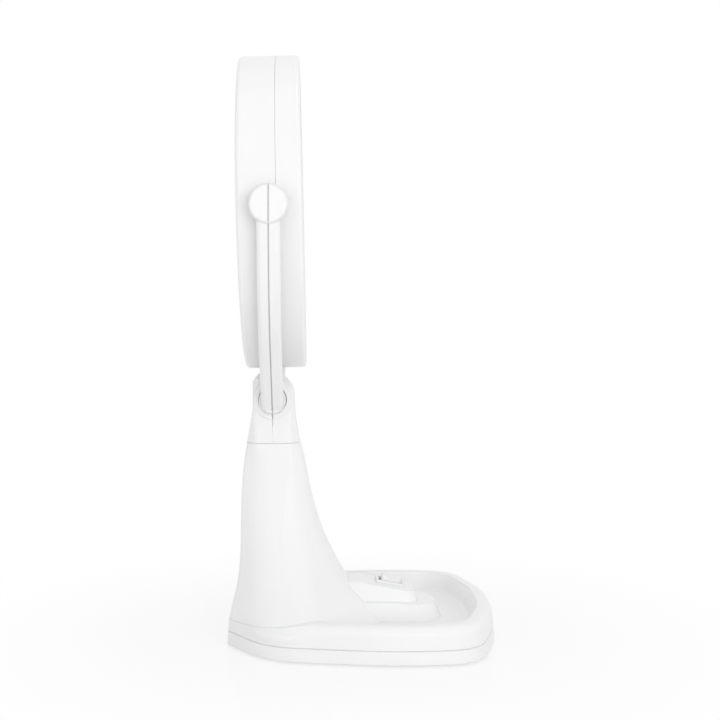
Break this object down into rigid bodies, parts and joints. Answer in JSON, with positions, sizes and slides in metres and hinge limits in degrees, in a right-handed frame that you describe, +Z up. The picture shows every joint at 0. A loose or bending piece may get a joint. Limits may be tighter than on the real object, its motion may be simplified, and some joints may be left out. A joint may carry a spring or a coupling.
{
  "type": "lighted makeup mirror",
  "caption": "Round double-sided lighted makeup mirror that flips in a folding yoke, on a flared column with a tray base and a rocker switch.",
  "frame": {"origin": "under the middle of the whole object's box, on the surface that it stands on", "axes": "+Z up, +X towards the user (tray side), +Y to the user's right as they face the mirror"},
  "size_m": [0.1878, 0.2544, 0.4145],
  "materials": {
    "white_gloss": "white gloss moulded plastic",
    "mirror_glass": "silvered glass",
    "frosted_ring": "frosted translucent white",
    "inner_plastic": "moulded natural nylon",
    "steel": "zinc plated",
    "brass": "tinned brass",
    "cast_iron": "as cast, blackened",
    "rubber": "soft pale grey",
    "circuit_board": "white solder mask",
    "led": "phosphor chip",
    "black_plastic": "moulded black",
    "lead_jacket": "white jacket"
  },
  "bodies": {
    "base": {"base_housing": "white_gloss", "base_bottom_cover": "white_gloss", "rubber_feet": "rubber", "cover_screws": "steel", "ballast_plate": "cast_iron", "driver_board": "circuit_board", "driver_components": "black_plastic", "power_inlet": "black_plastic", "hinge_head_front": "white_gloss", "hinge_head_rear": "white_gloss", "hinge_head_screws": "steel", "hinge_bushes": "inner_plastic", "hinge_friction_washers": "inner_plastic", "rocker_switch_housing": "white_gloss", "switch_terminals": "brass"},
    "yoke": {"right_arm_front_shell": "white_gloss", "left_arm_front_shell": "white_gloss", "right_arm_rear_shell": "white_gloss", "left_arm_rear_shell": "white_gloss", "arm_screws": "steel", "arm_leads": "lead_jacket", "pivot_studs": "steel", "pivot_spacers": "inner_plastic", "pivot_spring_washers": "steel", "pivot_nuts": "steel", "hinge_axle": "steel"},
    "head": {"head_front_housing": "white_gloss", "head_rear_housing": "white_gloss", "front_mirror": "mirror_glass", "rear_magnifying_mirror": "mirror_glass", "front_light_ring": "frosted_ring", "rear_light_ring": "frosted_ring", "head_carrier_frame": "inner_plastic", "carrier_screws": "steel", "front_led_boards": "circuit_board", "front_leds": "led", "rear_led_boards": "circuit_board", "rear_leds": "led"},
    "rocker": {"rocker_button": "white_gloss"}
  },
  "joints": [
    {"name": "arm_fold", "type": "hinge", "parent": "base", "child": "yoke", "pos_m": [-0.063, 0, 0.169], "axis": [0, 1, 0], "range_deg": [0, 90]},
    {"name": "head_tilt", "type": "hinge", "parent": "yoke", "child": "head", "pos_m": [-0.063, 0, 0.3022], "axis": [0, 1, 0], "range_deg": [-180, 180]},
    {"name": "rocker_press", "type": "hinge", "parent": "base", "child": "rocker", "pos_m": [0.021, 0, 0.0345], "axis": [0, 1, 0], "range_deg": [-24, 0]}
  ]
}
